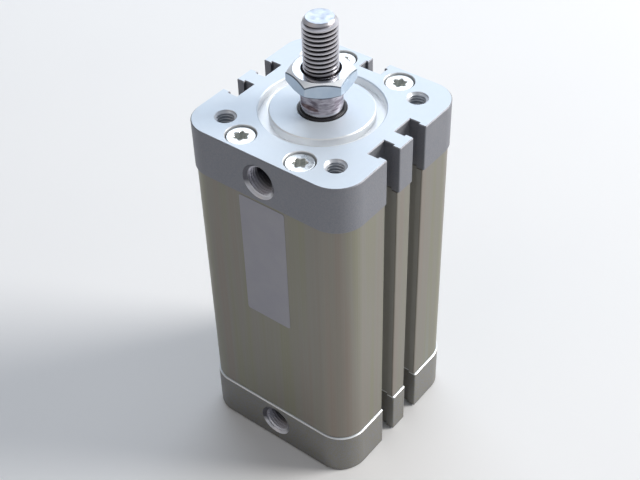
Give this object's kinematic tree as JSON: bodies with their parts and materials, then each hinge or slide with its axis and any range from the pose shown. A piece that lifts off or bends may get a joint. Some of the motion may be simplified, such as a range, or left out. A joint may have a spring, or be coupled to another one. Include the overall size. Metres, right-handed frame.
{
  "type": "compact pneumatic cylinder",
  "caption": "Square compact air cylinder with slotted extruded tube, two end caps, a sliding piston rod with male thread and nut, air ports and mounting threads.",
  "frame": {"origin": "middle of the rear cap's outer face, where the cylinder stands", "axes": "+Z along the rod, away from the body; -Y is the face with the air ports; +X and -X are the faces with two sensor slots"},
  "size_m": [0.057, 0.057, 0.144],
  "materials": {
    "anodised_aluminium": "extruded and clear anodised",
    "cap_aluminium": "cast, blasted and machined on its faces",
    "zinc_screw_steel": "bright zinc plated",
    "zinc_nut_steel": "blue zinc plated",
    "chromed_rod_steel": "ground and hard chromed, thread rolled",
    "black_rubber": "moulded",
    "bumper_rubber": "moulded polyurethane",
    "bearing_bronze": "sintered",
    "guide_ring_plastic": "skived strip",
    "bonded_magnet": "plastic-bonded ferrite",
    "piston_aluminium": "turned",
    "label_film": "silver polyester film"
  },
  "bodies": {
    "cylinder_body": {"barrel_tube": "anodised_aluminium", "front_cap": "cap_aluminium", "rear_cap": "cap_aluminium", "front_cap_screws": "zinc_screw_steel", "rear_cap_screws": "zinc_screw_steel", "front_tube_o_ring": "black_rubber", "rear_tube_o_ring": "black_rubber", "front_bumper": "bumper_rubber", "rear_bumper": "bumper_rubber", "rod_guide_bush": "bearing_bronze", "rod_wiper_seal": "black_rubber", "name_label": "label_film"},
    "piston_seals": {"piston_seal_front": "black_rubber", "piston_seal_rear": "black_rubber", "piston_guide_ring": "guide_ring_plastic"},
    "rod_and_piston": {"piston_rod": "chromed_rod_steel", "piston_front_half": "piston_aluminium", "piston_rear_half": "piston_aluminium", "piston_magnet_ring": "bonded_magnet", "piston_bolt": "zinc_screw_steel", "piston_o_ring": "black_rubber"},
    "rod_nut": {"rod_end_nut": "zinc_nut_steel"}
  },
  "joints": [
    {"name": "rod_slide", "type": "slide", "parent": "cylinder_body", "child": "piston_seals", "axis": [0, 0, 1], "range_m": [0, 0.07]},
    {"name": "rod_turn", "type": "hinge", "parent": "piston_seals", "child": "rod_and_piston", "pos_m": [0, 0, 0.0225], "axis": [0, 0, 1], "continuous": true},
    {"name": "nut_turn", "type": "hinge", "parent": "rod_and_piston", "child": "rod_nut", "pos_m": [0, 0, 0.1256], "axis": [0, 0, 1], "continuous": true}
  ]
}
